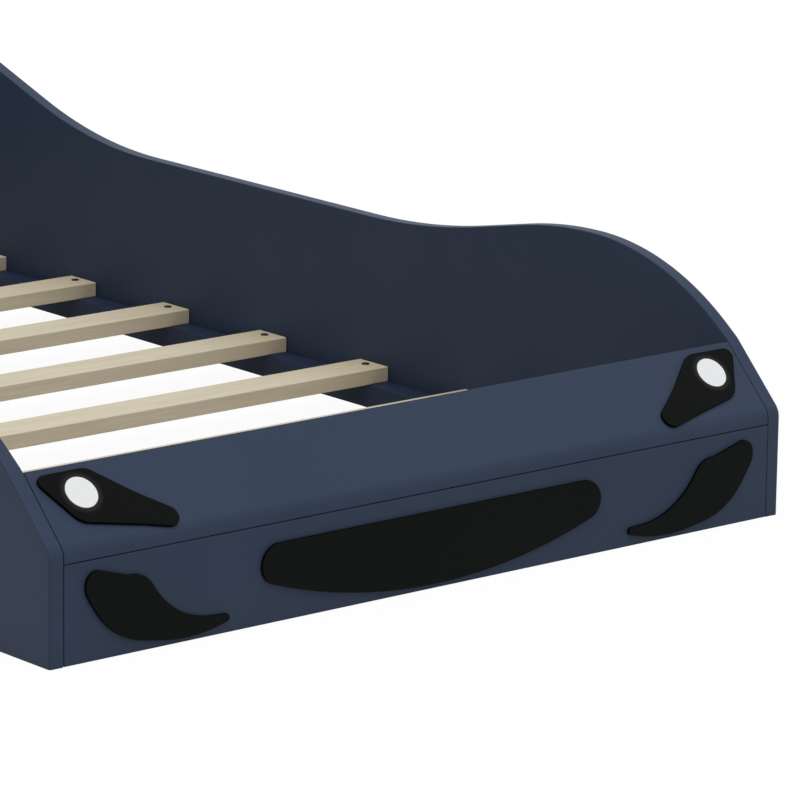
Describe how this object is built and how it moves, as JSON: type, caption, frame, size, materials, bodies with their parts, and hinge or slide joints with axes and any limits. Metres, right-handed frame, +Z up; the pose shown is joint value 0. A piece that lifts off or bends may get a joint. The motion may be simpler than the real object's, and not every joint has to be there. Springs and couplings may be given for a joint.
{
  "type": "car bed for children",
  "caption": "Low car-shaped bed frame for a child: wavy side panels, sloping hood with black lamp plates, grille and vents, headboard and slats on rails.",
  "frame": {"origin": "on the floor, in the middle of the bed's overall length and width", "axes": "+Z up; the hood and grille face -Y, the headboard stands at +Y, +X is to the right of someone who faces the front"},
  "size_m": [1.062, 2.022, 0.408],
  "materials": {
    "blue_board": "satin paint on fibreboard",
    "black_board": "matt black paint",
    "white_board": "satin white paint",
    "pine": "planed, unpainted",
    "screw_steel": "black zinc plate",
    "cam_zinc": "die-cast zinc",
    "beech": "fluted dowel"
  },
  "bodies": {
    "root": {"side_panel_left": "blue_board", "side_panel_right": "blue_board", "bumper_board": "blue_board", "hood_board": "blue_board", "headboard": "blue_board", "slat_rail_left": "blue_board", "slat_rail_right": "blue_board", "corner_block_left": "blue_board", "corner_block_right": "blue_board", "slat_01": "pine", "slat_02": "pine", "slat_03": "pine", "slat_04": "pine", "slat_05": "pine", "slat_06": "pine", "slat_07": "pine", "slat_08": "pine", "slat_09": "pine", "slat_10": "pine", "grille_plate": "black_board", "vent_plate_left": "black_board", "vent_plate_right": "black_board", "lamp_plate_left": "black_board", "lamp_plate_right": "black_board", "lamp_disc_left": "white_board", "lamp_disc_right": "white_board", "tyre_disc_front_left": "black_board", "tyre_disc_front_right": "black_board", "tyre_disc_rear_left": "black_board", "tyre_disc_rear_right": "black_board", "hub_disc_front_left": "white_board", "hub_disc_front_right": "white_board", "hub_disc_rear_left": "white_board", "hub_disc_rear_right": "white_board", "slat_screws": "screw_steel", "block_screws": "screw_steel", "wheel_screws": "screw_steel", "cam_bolts": "cam_zinc", "cam_locks": "cam_zinc", "wood_dowels": "beech"}
  },
  "joints": []
}
